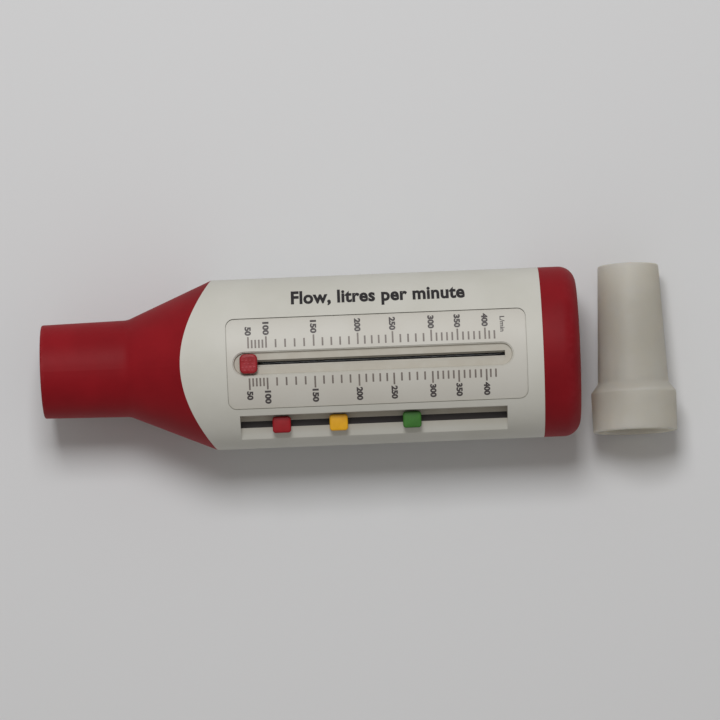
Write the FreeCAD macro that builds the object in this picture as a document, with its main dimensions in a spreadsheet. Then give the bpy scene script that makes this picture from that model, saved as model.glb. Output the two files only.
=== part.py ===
import FreeCAD, Part
import math
import os
import Sketcher
from FreeCAD import Placement, Rotation, Vector

# A piston-type peak flow meter with its loose mouthpiece.
# X runs along the flow, from the mouth at 0 to the cap. The scale faces up, along Z.
# The meter lies on its back. All lengths are in millimetres.

# Driving dimensions, kept in the document's spreadsheet
SIZES = {
    # mouth tube and cone
    "tube_tip_radius": 13.75,
    "tube_root_radius": 14.25,
    "tube_length": 25.3,
    "lip_round": 0.5,
    "inlet_radius": 12.7,
    "inlet_depth": 20.0,
    "stop_step": 1.0,
    "throat_length": 4.0,
    "cone_length": 25.2,
    "cone_blend": 5.0,
    "cone_wall": 2.0,
    "spigot_reach": 3.0,
    "spigot_wall": 1.6,
    # oval barrel, from the widest line of the cone to the cap
    "barrel_half_width": 25.0,
    "barrel_half_depth": 21.0,
    "barrel_wall": 2.0,
    "barrel_length": 96.0,
    # shallow recess with the printed scale
    "panel_front": 4.1,
    "panel_back": 4.7,
    "panel_corner": 2.5,
    "panel_depth": 0.8,
    "label_thickness": 0.3,
    "label_gap": 0.2,
    # trough round the pointer slot, inside the recess
    "trough_front": 1.7,
    "trough_back": 3.9,
    "trough_half_width": 3.6,
    "trough_slope": 0.6,
    "trough_depth": 1.8,
    "trough_floor": 1.8,
    "pointer_slot_width": 2.0,
    "pointer_slot_spare": 1.4,
    "air_slot_width": 0.9,
    # channel of the zone markers, below the recess
    "channel_front": 3.2,
    "channel_back": 6.2,
    "channel_drop": 1.7,
    "channel_slope": 0.5,
    "channel_fall": 5.0,
    "channel_depth": 9.1,
    "channel_floor": 1.4,
    "channel_cheek": 1.2,
    "marker_slot_side": 7.25,
    "marker_slot_drop": 2.85,
    "marker_slot_width": 1.9,
    # black rail under the marker slot
    "rail_width": 4.3,
    "rail_depth": 1.9,
    "rail_wall": 0.5,
    "rail_space": 0.65,
    # end cap
    "cap_length": 10.9,
    "cap_round": 5.0,
    "cap_wall": 2.0,
    "cap_spigot": 4.8,
    "vent_radius": 2.4,
    # round flow tube, as large as the trough and the rail leave room for
    "flow_tube_wall": 1.4,
    "flow_tube_front": 9.7,
    "flow_tube_back": 1.8,
    "gasket_thickness": 0.8,
    # rod and its front holder
    "rod_radius": 1.5,
    "rod_nose": 1.4,
    "boss_wall": 2.5,
    "spider_inset": 3.2,
    "spider_length": 4.0,
    "spider_rim": 1.4,
    "spider_arm": 1.6,
    "retainer_width": 1.7,
    "retainer_thickness": 0.5,
    "collar_wall": 1.9,
    "collar_length": 1.5,
    # return spring
    "spring_space": 0.9,
    "spring_wire": 0.4,
    "spring_turns": 10.0,
    # piston
    "piston_disc": 1.0,
    "piston_gap": 0.4,
    "piston_skirt": 3.0,
    "piston_skirt_wall": 0.8,
    "hub_front": 2.2,
    "hub_length": 8.0,
    "hub_wall": 1.8,
    "bush_wall": 0.9,
    "buffer_thickness": 1.5,
    "buffer_wall": 1.6,
    # pointer
    "pointer_front": 4.7,
    "pointer_back": 5.4,
    "pointer_length": 5.15,
    "pointer_width": 5.7,
    "pointer_proud": 0.9,
    "pointer_round": 0.9,
    "stem_length": 3.0,
    "shoe_length": 3.2,
    "shoe_width": 4.4,
    "shoe_thickness": 1.7,
    "shoe_space": 0.5,
    # zone markers, from the front end of their channel
    "marker_length": 5.35,
    "marker_width": 4.8,
    "marker_height": 2.3,
    "marker_drop": 3.15,
    "marker_round": 0.8,
    "marker_shoe_thickness": 0.9,
    "marker_shoe_width": 3.0,
    "red_marker_place": 12.0,
    "yellow_marker_place": 28.6,
    "green_marker_place": 50.0,
    # mouthpiece
    "mouthpiece_length": 49.5,
    "mouthpiece_aside": 16.6,
    "skirt_length": 11.7,
    "skirt_draft": 0.2,
    "shoulder_length": 2.7,
    "neck_radius": 10.45,
    "mouth_tip_radius": 9.0,
    "mouthpiece_wall": 1.4,
    # clearances
    "fit": 0.05,
    "slip": 0.1,
    "gap": 0.25,
    "rod_fit": 0.04,
}


class Size(float):
    """A length that also carries the spreadsheet formula it comes from."""

    def __new__(cls, number, formula):
        size = float.__new__(cls, number)
        size.formula = formula
        return size

    def __add__(self, other):
        return Size(float(self) + float(other), f"({self.formula} + {formula_of(other)})")

    def __sub__(self, other):
        return Size(float(self) - float(other), f"({self.formula} - {formula_of(other)})")

    def __mul__(self, other):
        return Size(float(self) * float(other), f"({self.formula} * {formula_of(other)})")

    def __truediv__(self, other):
        return Size(float(self) / float(other), f"({self.formula} / {formula_of(other)})")

    def __neg__(self):
        return Size(-float(self), f"(0 - {self.formula})")


def formula_of(value):
    """The text that stands for a size or a plain number in a formula."""
    return value.formula if isinstance(value, Size) else str(float(value))


def smaller(one, other):
    """The smaller of two sizes."""
    return Size(min(one, other), f"min({one.formula}; {other.formula})")


def distance(across, up):
    """How far a point is from the flow axis."""
    return Size(math.hypot(across, up), f"hypot({across.formula}; {up.formula})")


class Sizes:
    """The spreadsheet's sizes, each under its own name."""


def make_sheet(document, numbers):
    """Write the numbers into a spreadsheet, and read them back as named sizes."""
    sheet = document.addObject("Spreadsheet::Sheet", "Sizes")
    for row, (name, number) in enumerate(numbers.items(), start=1):
        sheet.set(f"A{row}", name)
        sheet.set(f"B{row}", str(number))
        sheet.setAlias(f"B{row}", name)
    document.recompute()
    sizes = Sizes()
    for name in numbers:
        setattr(sizes, name, Size(sheet.get(name), f"Sizes.{name}"))
    return sizes


doc = FreeCAD.newDocument("PeakFlowMeter")
s = make_sheet(doc, SIZES)
pieces = []

ALONG_FLOW = Rotation(Vector(0, 1, 0), 90)  # turns a part's own Z onto the flow axis
ACROSS_FLOW = Rotation(Vector(1, 1, 1), 120)  # turns X, Y and Z onto Y, Z and X
MARGIN = 2.0  # how far a cutting tool runs past what it cuts
VENTS = 8
SPIDER_ARMS = 3


def bind(thing, **sizes):
    """Set an object's properties to sizes and keep their formulas."""
    for name, size in sizes.items():
        setattr(thing, name, float(size))
        if isinstance(size, Size):
            thing.setExpression(name, size.formula)
    return thing


def place(thing, x, y, z, turn=None):
    """Put an object at a point, keeping the formulas of its coordinates."""
    thing.Placement = Placement(Vector(x, y, z), turn or Rotation())
    for axis, size in zip("xyz", (x, y, z)):
        if isinstance(size, Size):
            thing.setExpression(f"Placement.Base.{axis}", size.formula)
    return thing


def piece(name, thing):
    """Name an object as a finished sub-part."""
    thing.Label = name
    pieces.append(thing)
    return thing


def cylinder(name, radius, start, end):
    """A round bar along the flow axis."""
    bar = doc.addObject("Part::Cylinder", name)
    bind(bar, Radius=radius, Height=end - start)
    return place(bar, start, 0, 0, ALONG_FLOW)


def box(name, x, y, z):
    """A block between a low and a high value on each axis."""
    block = doc.addObject("Part::Box", name)
    bind(block, Length=x[1] - x[0], Width=y[1] - y[0], Height=z[1] - z[0])
    return place(block, x[0], y[0], z[0])


def oval(name, half_width, half_depth, start, end):
    """An oval bar along the flow axis."""
    rim = doc.addObject("Part::Ellipse", name + "_rim")
    bind(rim, MajorRadius=half_width, MinorRadius=half_depth)
    place(rim, start, 0, 0, ACROSS_FLOW)
    bar = doc.addObject("Part::Extrusion", name)
    bar.Base = rim
    bar.DirMode = "Custom"
    bar.Dir = Vector(1, 0, 0)
    bar.Solid = True
    return bind(bar, LengthFwd=end - start)


def cut(name, base, *tools):
    """The base with each tool taken away."""
    result = doc.addObject("Part::Cut", name)
    result.Base = base
    result.Tool = tools[0] if len(tools) == 1 else fuse(name + "_tools", *tools)
    return result


def fuse(name, *things):
    """Several shapes joined into one."""
    result = doc.addObject("Part::MultiFuse", name)
    result.Shapes = list(things)
    result.Refine = True
    return result


def common(name, *things):
    """What several shapes share."""
    result = doc.addObject("Part::MultiCommon", name)
    result.Shapes = list(things)
    return result


def solid(name, shape):
    """A shape made by its own function, as an object of the document."""
    result = doc.addObject("Part::Feature", name)
    result.Shape = shape
    return result


def draw(sketch, corners):
    """A closed outline of straight edges, each corner held by its two coordinates."""
    points = [Vector(across, up, 0) for across, up in corners]
    for point, following in zip(points, points[1:] + points[:1]):
        sketch.addGeometry(Part.LineSegment(point, following))
    for edge in range(len(points)):
        following = (edge + 1) % len(points)
        sketch.addConstraint(Sketcher.Constraint("Coincident", edge, 2, following, 1))
    for edge, corner in enumerate(corners):
        for kind, size in zip(("DistanceX", "DistanceY"), corner):
            ends = (-1, 1, edge, 1) if size >= 0 else (edge, 1, -1, 1)
            size = size if size >= 0 else -size
            index = sketch.addConstraint(Sketcher.Constraint(kind, *ends, float(size)))
            if isinstance(size, Size):
                sketch.setExpression(f"Constraints[{index}]", size.formula)


def body_with_sketch(name, plane_role, corners):
    """A body and a sketch of the outline on one of its own planes."""
    body = doc.addObject("PartDesign::Body", name)
    plane = next(f for f in body.Origin.OriginFeatures if f.Role == plane_role)
    sketch = body.newObject("Sketcher::SketchObject", name + "_outline")
    sketch.AttachmentSupport = (plane, [""])
    sketch.MapMode = "FlatFace"
    draw(sketch, corners)
    return body, sketch


def lathe(name, corners):
    """A body turned about the flow axis from an outline of places and radii."""
    body, sketch = body_with_sketch(name, "XZ_Plane", corners)
    spin = body.newObject("PartDesign::Revolution", name + "_spin")
    spin.Profile = sketch
    spin.ReferenceAxis = (sketch, ["H_Axis"])
    spin.Angle = 360
    return body


def prism(name, corners, start, end):
    """A body whose outline across the flow runs from start to end along it."""
    body, sketch = body_with_sketch(name, "YZ_Plane", corners)
    sketch.AttachmentOffset = Placement(Vector(0, 0, start), Rotation())
    sketch.setExpression("AttachmentOffset.Base.z", start.formula)
    pad = body.newObject("PartDesign::Pad", name + "_pad")
    pad.Profile = sketch
    bind(pad, Length=end - start)
    return body


def rounded(name, base, radius, wanted):
    """The base with the edges that wanted() picks rounded off."""
    doc.recompute()
    result = doc.addObject("Part::Fillet", name)
    result.Base = base
    radius = float(radius)
    result.Edges = [
        (number, radius, radius)
        for number, edge in enumerate(base.Shape.Edges, start=1)
        if wanted(edge)
    ]
    return result


def spans(edge, axis):
    """How long an edge's box is along an axis."""
    return getattr(edge.BoundBox, axis + "Length")


def racetrack(start, end, half_width, level):
    """A long outline with round ends, flat at one level."""
    low, high = start + half_width, end - half_width
    corners = [
        Vector(low, half_width, level),
        Vector(high, half_width, level),
        Vector(high, -half_width, level),
        Vector(low, -half_width, level),
    ]
    edges = [
        Part.LineSegment(corners[0], corners[1]).toShape(),
        Part.Arc(corners[1], Vector(end, 0, level), corners[2]).toShape(),
        Part.LineSegment(corners[2], corners[3]).toShape(),
        Part.Arc(corners[3], Vector(start, 0, level), corners[0]).toShape(),
    ]
    return Part.Wire(edges)


def rounded_plate(start, end, half_width, corner, high):
    """A block from the axis up, with round corners as seen from above."""
    block = Part.makeBox(end - start, half_width * 2, high, Vector(start, -half_width, 0))
    upright = [edge for edge in block.Edges if edge.BoundBox.ZLength > corner]
    return block.makeFillet(corner, upright)


# Places along the flow axis that several pieces share
cone_end = s.tube_length + s.cone_length
barrel_end = cone_end + s.barrel_length
cap_end = barrel_end + s.cap_length
cone_slope = (s.barrel_half_width - s.tube_root_radius) / s.cone_length
cone_apex = s.tube_length - s.tube_root_radius / cone_slope
front_edge = cone_apex + s.barrel_half_depth / cone_slope
spigot_end = cone_end + s.spigot_reach
cap_spigot_start = barrel_end - s.cap_spigot
cap_floor = cap_end - s.cap_wall
panel_start = cone_end + s.panel_front
panel_end = barrel_end - s.panel_back
trough_start = panel_start + s.trough_front
trough_end = panel_end - s.trough_back
channel_start = panel_start + s.channel_front
channel_end = panel_end - s.channel_back
flow_tube_start = cone_end - s.flow_tube_front
flow_tube_end = barrel_end - s.flow_tube_back
gasket_start = flow_tube_start - s.gasket_thickness
pointer_centre = trough_start + s.pointer_front
travel = trough_end - s.pointer_back - pointer_centre
stem_start = pointer_centre - s.stem_length / 2
slot_start = stem_start - s.gap
slot_end = stem_start + s.stem_length + travel + s.pointer_slot_spare
piston_face = stem_start - s.piston_gap
hub_start = piston_face - s.hub_front
hub_end = hub_start + s.hub_length
end_buffer_start = hub_end + travel + s.gap
boss_start = end_buffer_start + s.buffer_thickness
spider_start = flow_tube_start + s.spider_inset
spider_end = spider_start + s.spider_length
collar_end = spider_end + s.collar_length
rod_start = spider_start - s.rod_nose
rod_end = cap_floor - s.gap

# Heights and widths that several pieces share
top = s.barrel_half_depth + MARGIN
trough_level = s.barrel_half_depth - s.trough_depth
trough_underside = trough_level - s.trough_floor
marker_slot_centre = s.barrel_half_width - s.marker_slot_side
channel_edge = marker_slot_centre - s.marker_slot_drop
panel_half_width = channel_edge - s.channel_drop
channel_level = s.barrel_half_depth - s.channel_depth
channel_underside = channel_level - s.channel_floor
marker_line = channel_edge + s.marker_drop
rail_inside = marker_slot_centre - s.rail_width / 2
rail_low = channel_underside - s.rail_depth

# Radii that several pieces share
inner_half_width = s.barrel_half_width - s.barrel_wall
inner_half_depth = s.barrel_half_depth - s.barrel_wall
spigot_half_width = inner_half_width - s.slip
spigot_half_depth = inner_half_depth - s.slip
flow_tube_outside = smaller(
    trough_underside - s.gap, distance(rail_inside, rail_low) - s.rail_space
)
flow_tube_radius = flow_tube_outside - s.flow_tube_wall
socket_radius = flow_tube_outside + s.fit
socket_outside = socket_radius + s.spigot_wall
rod_hole = s.rod_radius + s.rod_fit
boss_radius = s.rod_radius + s.boss_wall
collar_radius = s.rod_radius + s.collar_wall
bush_radius = s.rod_radius + s.bush_wall
vent_circle = (boss_radius + flow_tube_radius) / 2
hub_radius = bush_radius + s.hub_wall
piston_radius = flow_tube_radius - s.piston_gap
shoe_low = flow_tube_radius - s.shoe_space - s.shoe_thickness
spring_radius = s.rod_radius + s.spring_space + s.spring_wire / 2
skirt_radius = s.inlet_radius - s.slip


def behind_the_cone():
    """All that lies behind the join of cone and barrel.

    A round cone meets an oval bar in a curve that is one hyperbola when seen from above.
    """
    half_width, half_depth = float(s.barrel_half_width), float(s.barrel_half_depth)
    reach = float(half_depth / cone_slope)
    opening = half_width * half_depth / math.sqrt(half_width**2 - half_depth**2)
    side = half_width + MARGIN
    turn = math.asinh(side / opening)
    curve = Part.Hyperbola(Vector(cone_apex, 0, 0), reach, opening).toShape(-turn, turn)
    first, last = curve.Vertexes[0].Point, curve.Vertexes[-1].Point
    far = barrel_end + MARGIN
    back = Part.makePolygon([last, Vector(far, last.y, 0), Vector(far, first.y, 0), first])
    face = Part.Face(Part.Wire([curve] + back.Edges))
    tall = 2 * (half_depth + MARGIN)
    block = face.extrude(Vector(0, 0, tall))
    block.translate(Vector(0, 0, -tall / 2))
    return block


def make_mouth_cone():
    """Red mouth tube and cone in one moulding, with a spigot into the barrel."""
    throat_radius = s.inlet_radius - s.stop_step
    throat_end = s.inlet_depth + s.throat_length
    turned = lathe("cone_turned", [
        (0, s.inlet_radius),
        (0, s.tube_tip_radius),
        (s.tube_length, s.tube_root_radius),
        (cone_end, s.barrel_half_width),
        (spigot_end, s.barrel_half_width),
        (spigot_end, socket_radius),
        (gasket_start, socket_radius),
        (gasket_start, flow_tube_radius),
        (throat_end, throat_radius),
        (s.inlet_depth, throat_radius),
        (s.inlet_depth, s.inlet_radius),
    ])
    lip = rounded(
        "cone_lipped", turned, s.lip_round,
        lambda edge: edge.BoundBox.XMax < s.lip_round and edge.BoundBox.ZMax > s.inlet_radius + s.fit,
    )
    blended = rounded(
        "cone_blended", lip, s.cone_blend,
        lambda edge: spans(edge, "X") < s.fit and abs(edge.BoundBox.XMin - s.tube_length) < s.fit
        and edge.BoundBox.ZMax > s.tube_tip_radius,
    )
    outer = oval("cone_outer", s.barrel_half_width, s.barrel_half_depth, -s.lip_round, barrel_end)
    in_sight = cut("cone_in_sight", outer, solid("cone_trim", behind_the_cone()))
    spigot = oval("cone_spigot", spigot_half_width, spigot_half_depth, gasket_start, barrel_end)
    skin = common("cone_skin", blended, fuse("cone_envelope", in_sight, spigot))
    # side pockets that keep the wall even between the tube's socket and the spigot
    inner_line = cone_apex + (socket_outside + s.cone_wall) / cone_slope
    inner_end = cone_apex + (s.barrel_half_width + s.cone_wall) / cone_slope
    ring = lathe("cone_pocket_ring", [
        (inner_line, socket_outside),
        (inner_end, s.barrel_half_width),
        (inner_end + MARGIN, s.barrel_half_width),
        (inner_end + MARGIN, socket_outside),
    ])
    inside = oval(
        "cone_pocket_oval", spigot_half_width - s.spigot_wall, spigot_half_depth - s.spigot_wall,
        gasket_start, barrel_end,
    )
    pockets = common("cone_pockets", ring, inside)
    return piece("mouth_cone", cut("mouth_cone", skin, pockets))


def channel_corners(low, high):
    """Outline of the marker channel. Beyond the slot its floor falls, to run out at the barrel's side."""
    lean = s.channel_slope / (s.channel_depth - MARGIN)
    edge = -channel_edge + lean * (high - low) - s.channel_slope
    far = -s.barrel_half_width - MARGIN
    slot_side = -marker_slot_centre - s.marker_slot_width / 2
    return [
        (-channel_edge - s.channel_slope, low), (edge, high), (far, high),
        (far, low - s.channel_fall), (slot_side, low),
    ]


def make_barrel():
    """White oval barrel with the scale recess, pointer trough and marker channel."""
    outer = oval(
        "barrel_outer", s.barrel_half_width, s.barrel_half_depth, front_edge - MARGIN, barrel_end
    )
    trimmed = common("barrel_trimmed", outer, solid("barrel_trim", behind_the_cone()))
    hollow = oval(
        "barrel_hollow", inner_half_width, inner_half_depth,
        front_edge - MARGIN * 2, barrel_end + MARGIN,
    )
    # ribs left inside, under the trough and round the channel
    rib_half = s.trough_half_width + s.trough_floor
    under_trough = box(
        "barrel_trough_rib",
        (spigot_end + s.gap, cap_spigot_start - s.gap),
        (-rib_half, rib_half),
        (trough_underside, top),
    )
    under_channel = box(
        "barrel_channel_rib",
        (channel_start - s.channel_cheek, channel_end + s.channel_cheek),
        (-s.barrel_half_width - MARGIN, -channel_edge + s.channel_cheek),
        (channel_underside, top),
    )
    shell = cut("barrel_shell", trimmed, cut("barrel_cavity", hollow, under_trough, under_channel))
    return piece("barrel", cut(
        "barrel", shell, panel_recess(), trough("barrel_trough", 0),
        pointer_slot("barrel_slot", s.pointer_slot_width, trough_underside - MARGIN, top),
        prism("barrel_channel", channel_corners(channel_level, top), channel_start, channel_end),
        marker_slot(), rail_seat(),
    ))


def panel_recess():
    """Shallow recess that follows the barrel's curve, as a cutting tool."""
    plate = rounded_plate(panel_start, panel_end, panel_half_width, s.panel_corner, top)
    core = oval(
        "panel_core", s.barrel_half_width - s.panel_depth, s.barrel_half_depth - s.panel_depth,
        panel_start - MARGIN, panel_end + MARGIN,
    )
    return cut("panel_recess", solid("panel_plate", plate), core)


def trough(name, clearance):
    """The long trough round the pointer slot, with sloping walls, as a cutting tool."""
    high = s.barrel_half_depth
    lean = s.trough_slope / s.trough_depth
    wall = s.trough_slope + lean * MARGIN
    low_start, low_end = trough_start + s.trough_slope, trough_end - s.trough_slope
    low_half = s.trough_half_width - s.trough_slope
    outlines = [
        racetrack(low_start - clearance, low_end + clearance, low_half + clearance, trough_level),
        racetrack(
            low_start - wall - clearance, low_end + wall + clearance,
            low_half + wall + clearance, high + MARGIN,
        ),
    ]
    return solid(name, Part.makeLoft(outlines, True, True))


def pointer_slot(name, width, low, high):
    """A slot that the pointer's stem runs along, as a cutting tool."""
    half = width / 2
    return box(name, (slot_start, slot_end), (-half, half), (low, high))


def marker_slot():
    """The slot that the zone markers' stems run along, as a cutting tool."""
    half = s.marker_slot_width / 2
    return box(
        "marker_slot",
        (channel_start, channel_end),
        (-marker_slot_centre - half, -marker_slot_centre + half),
        (channel_underside - MARGIN, channel_level + MARGIN),
    )


def rail_seat():
    """Room for the rail under the channel's floor, as a cutting tool."""
    half = s.rail_width / 2 + s.fit
    return box(
        "rail_seat",
        (channel_start - s.fit, channel_end + s.fit),
        (-marker_slot_centre - half, -marker_slot_centre + half),
        (rail_low - MARGIN, channel_underside),
    )


def make_scale_label():
    """Printed scale: a thin curved strip that fills the recess, open round the trough."""
    plate = rounded_plate(
        panel_start + s.label_gap, panel_end - s.label_gap, panel_half_width - s.label_gap,
        s.panel_corner - s.label_gap, top,
    )
    inner_depth = s.panel_depth - s.fit
    outer_depth = s.panel_depth - s.label_thickness
    start, end = panel_start - MARGIN, panel_end + MARGIN
    outside = oval(
        "label_outside", s.barrel_half_width - outer_depth, s.barrel_half_depth - outer_depth, start, end
    )
    inside = oval(
        "label_inside", s.barrel_half_width - inner_depth, s.barrel_half_depth - inner_depth, start, end
    )
    sheet = common("label_sheet", solid("label_plate", plate), outside)
    return piece("scale_label", cut("scale_label", sheet, inside, trough("label_trough", s.label_gap)))


def make_end_cap():
    """Red cap with a spigot into the barrel, a socket for the flow tube and a ring of vents."""
    block = oval("cap_block", s.barrel_half_width, s.barrel_half_depth, barrel_end, cap_end)
    outside = rounded(
        "cap_outside", block, s.cap_round,
        lambda edge: edge.BoundBox.XMin > cap_end - s.fit and spans(edge, "Y") > s.gap,
    )
    spigot = oval("cap_spigot", spigot_half_width, spigot_half_depth, cap_spigot_start, barrel_end)
    inside = oval(
        "cap_inside", spigot_half_width - s.spigot_wall, spigot_half_depth - s.spigot_wall,
        cap_spigot_start - MARGIN, cap_floor,
    )
    socket = cylinder("cap_socket", socket_outside, cap_spigot_start, cap_floor)
    socket_kept = common("cap_socket_kept", socket, oval(
        "cap_socket_oval", spigot_half_width, spigot_half_depth, cap_spigot_start, cap_floor,
    ))
    shell = cut("cap_shell", fuse("cap_full", outside, spigot), inside)
    bored = cut(
        "cap_bored", fuse("cap_with_socket", shell, socket_kept),
        cylinder("cap_socket_bore", socket_radius, cap_spigot_start - MARGIN, cap_floor),
    )
    boss = cylinder("cap_boss", boss_radius, boss_start, cap_floor)
    blind_hole = cylinder("cap_rod_hole", rod_hole, boss_start - MARGIN, rod_end)
    return piece("end_cap", cut("end_cap", fuse("cap_with_boss", bored, boss), blind_hole, vents()))


def vents():
    """A ring of round air holes through the cap's end wall."""
    holes = []
    for number in range(VENTS):
        angle = math.radians(360 / VENTS * number)
        hole = cylinder(f"vent_{number}", s.vent_radius, cap_floor - MARGIN, cap_end + MARGIN)
        across, up = vent_circle * math.cos(angle), vent_circle * math.sin(angle)
        holes.append(place(hole, cap_floor - MARGIN, across, up, ALONG_FLOW))
    return fuse("vents", *holes)


def ring(name, inner, outer, start, end):
    """A turned ring."""
    return piece(name, lathe(name + "_body", [
        (start, inner), (start, outer), (end, outer), (end, inner),
    ]))


def make_flow_tube():
    """Round tube that the piston runs in, with the air slot along its top."""
    tube = lathe("flow_tube_turned", [
        (flow_tube_start, flow_tube_radius),
        (flow_tube_start, flow_tube_outside),
        (flow_tube_end, flow_tube_outside),
        (flow_tube_end, flow_tube_radius),
    ])
    slot = pointer_slot(
        "flow_tube_slot", s.air_slot_width, boss_radius, flow_tube_outside + MARGIN
    )
    return piece("flow_tube", cut("flow_tube", tube, slot))


def make_front_spider():
    """Rim, hub and three arms that hold the rod's front end."""
    rim_outside = flow_tube_radius - s.fit
    rim_inside = rim_outside - s.spider_rim
    rim = lathe("spider_rim", [
        (spider_start, rim_inside), (spider_start, rim_outside),
        (spider_end, rim_outside), (spider_end, rim_inside),
    ])
    hub = cylinder("spider_hub", boss_radius, spider_start, spider_end)
    arms = []
    for number in range(SPIDER_ARMS):
        arm = doc.addObject("Part::Box", f"spider_arm_{number}")
        bind(arm, Length=s.spider_length, Width=s.spider_arm, Height=rim_inside + s.spider_rim / 2)
        turn = Rotation(Vector(1, 0, 0), 360 / SPIDER_ARMS * number)
        corner = turn.multVec(Vector(0, -s.spider_arm / 2, 0))
        arms.append(place(arm, spider_start, corner.y, corner.z, turn))
    bore = cylinder("spider_bore", s.rod_radius + s.fit, spider_start - MARGIN, spider_end + MARGIN)
    return piece("front_spider", cut("front_spider", fuse("spider_full", rim, hub, *arms), bore))


def make_return_spring():
    """Close-wound tension spring round the rod, at its rest length."""
    start = collar_end + s.spring_wire / 2 + s.fit
    end = hub_start - s.spring_wire / 2 - s.fit
    pitch = (end - start) / s.spring_turns
    helix = Part.makeHelix(pitch, end - start, spring_radius)
    section = Part.Wire(Part.makeCircle(
        s.spring_wire / 2, Vector(spring_radius, 0, 0), Vector(0, 1, 0)
    ))
    coil = Part.Wire(helix).makePipeShell([section], True, True)
    spring = solid("return_spring", coil)
    spring.Placement = Placement(Vector(start, 0, 0), ALONG_FLOW)
    return piece("return_spring", spring)


def make_piston():
    """Light disc with a short skirt and a hub that slides on the rod."""
    disc_start = piston_face - s.piston_disc
    skirt_start = piston_face - s.piston_skirt
    return piece("piston", lathe("piston_body", [
        (hub_start, bush_radius),
        (hub_start, hub_radius),
        (disc_start, hub_radius),
        (disc_start, piston_radius - s.piston_skirt_wall),
        (skirt_start, piston_radius - s.piston_skirt_wall),
        (skirt_start, piston_radius),
        (piston_face, piston_radius),
        (piston_face, hub_radius),
        (hub_end, hub_radius),
        (hub_end, bush_radius),
    ]))


def knob(name, x, y, z, pocket, round_off):
    """A small block with round corners and a pocket underneath for its stem."""
    block = box(name + "_block", x, y, z)
    upright = rounded(name + "_corners", block, round_off, lambda edge: spans(edge, "Z") > s.gap)
    low, high = z
    topped = rounded(
        name + "_topped", upright, round_off / 2,
        lambda edge: edge.BoundBox.ZMin > high - s.fit,
    )
    return piece(name, cut(name, topped, pocket))


def make_pointer():
    """Red pointer on the scale, and the shoe inside the tube that the piston pushes."""
    pointer_start = pointer_centre - s.pointer_length / 2
    knob_low = trough_level + s.gap
    knob_high = s.barrel_half_depth + s.pointer_proud
    half_stem = s.air_slot_width / 2 - s.slip
    stem_top = knob_low + (knob_high - knob_low) / 2
    stem_end = stem_start + s.stem_length
    pocket = box("pointer_pocket", (stem_start, stem_end), (-half_stem, half_stem), (knob_low, stem_top))
    knob(
        "pointer_knob", (pointer_start, pointer_start + s.pointer_length),
        (-s.pointer_width / 2, s.pointer_width / 2), (knob_low, knob_high), pocket, s.pointer_round,
    )
    stem = box("pointer_stem", (stem_start, stem_end), (-half_stem, half_stem), (shoe_low, stem_top))
    shoe_start = piston_face + s.gap
    shoe = box(
        "pointer_shoe_block", (shoe_start, shoe_start + s.shoe_length),
        (-s.shoe_width / 2, s.shoe_width / 2), (shoe_low, shoe_low + s.shoe_thickness),
    )
    return piece("pointer_shoe", fuse("pointer_shoe", shoe, stem))


def make_marker_rail():
    """Black strip under the marker slot: a shallow channel that traps the markers' shoes."""
    half = s.rail_width / 2
    left, right = -marker_slot_centre - half, -marker_slot_centre + half
    low, high = rail_low, channel_underside
    floor = low + s.rail_wall
    return piece("marker_rail", prism("marker_rail", [
        (left, high), (left, low), (right, low), (right, high),
        (right - s.rail_wall, high), (right - s.rail_wall, floor),
        (left + s.rail_wall, floor), (left + s.rail_wall, high),
    ], channel_start, channel_end))


def make_marker(name, centre):
    """One zone marker and its shoe, which slides inside the rail."""
    start, end = centre - s.marker_length / 2, centre + s.marker_length / 2
    low = channel_level + s.slip
    high = low + s.marker_height
    stem_half = s.marker_slot_width / 2 - s.slip
    stem_side = (-marker_slot_centre - stem_half, -marker_slot_centre + stem_half)
    stem_along = (centre - s.stem_length / 2, centre + s.stem_length / 2)
    stem_top = low + s.marker_height / 2
    pocket = box(name + "_pocket", stem_along, stem_side, (low, stem_top))
    knob(
        name, (start, end),
        (-marker_line - s.marker_width / 2, -marker_line + s.marker_width / 2),
        (low, high), pocket, s.marker_round,
    )
    shoe_top = channel_underside - s.slip * 2
    shoe_half = s.marker_shoe_width / 2
    shoe = box(
        name + "_shoe_block", stem_along,
        (-marker_slot_centre - shoe_half, -marker_slot_centre + shoe_half),
        (shoe_top - s.marker_shoe_thickness, shoe_top),
    )
    stem = box(name + "_stem", stem_along, stem_side, (shoe_top - s.marker_shoe_thickness, stem_top))
    return piece(name + "_shoe", fuse(name + "_shoe", shoe, stem))


def make_mouthpiece():
    """Loose mouthpiece on its side beside the cap, resting on its skirt and its tip."""
    shoulder = s.skirt_length + s.shoulder_length
    turned = lathe("mouthpiece_body", [
        (0, skirt_radius - s.skirt_draft - s.mouthpiece_wall),
        (0, skirt_radius - s.skirt_draft),
        (s.skirt_length, skirt_radius),
        (shoulder, s.neck_radius),
        (s.mouthpiece_length, s.mouth_tip_radius),
        (s.mouthpiece_length, s.mouth_tip_radius - s.mouthpiece_wall),
        (shoulder, s.neck_radius - s.mouthpiece_wall),
        (s.skirt_length, skirt_radius - s.mouthpiece_wall),
    ])
    tilt = math.atan2(skirt_radius - s.mouth_tip_radius, s.mouthpiece_length - s.skirt_length)
    height = s.skirt_length * math.sin(tilt) + skirt_radius * math.cos(tilt)
    turn = Rotation(Vector(1, 0, 0), -math.degrees(tilt)) * Rotation(Vector(0, 0, 1), 90)
    reach = s.mouthpiece_length / 2 * math.cos(tilt)
    turned.Placement = Placement(
        Vector(cap_end + s.mouthpiece_aside, -reach, height - s.barrel_half_depth), turn
    )
    return piece("mouthpiece", turned)


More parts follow.
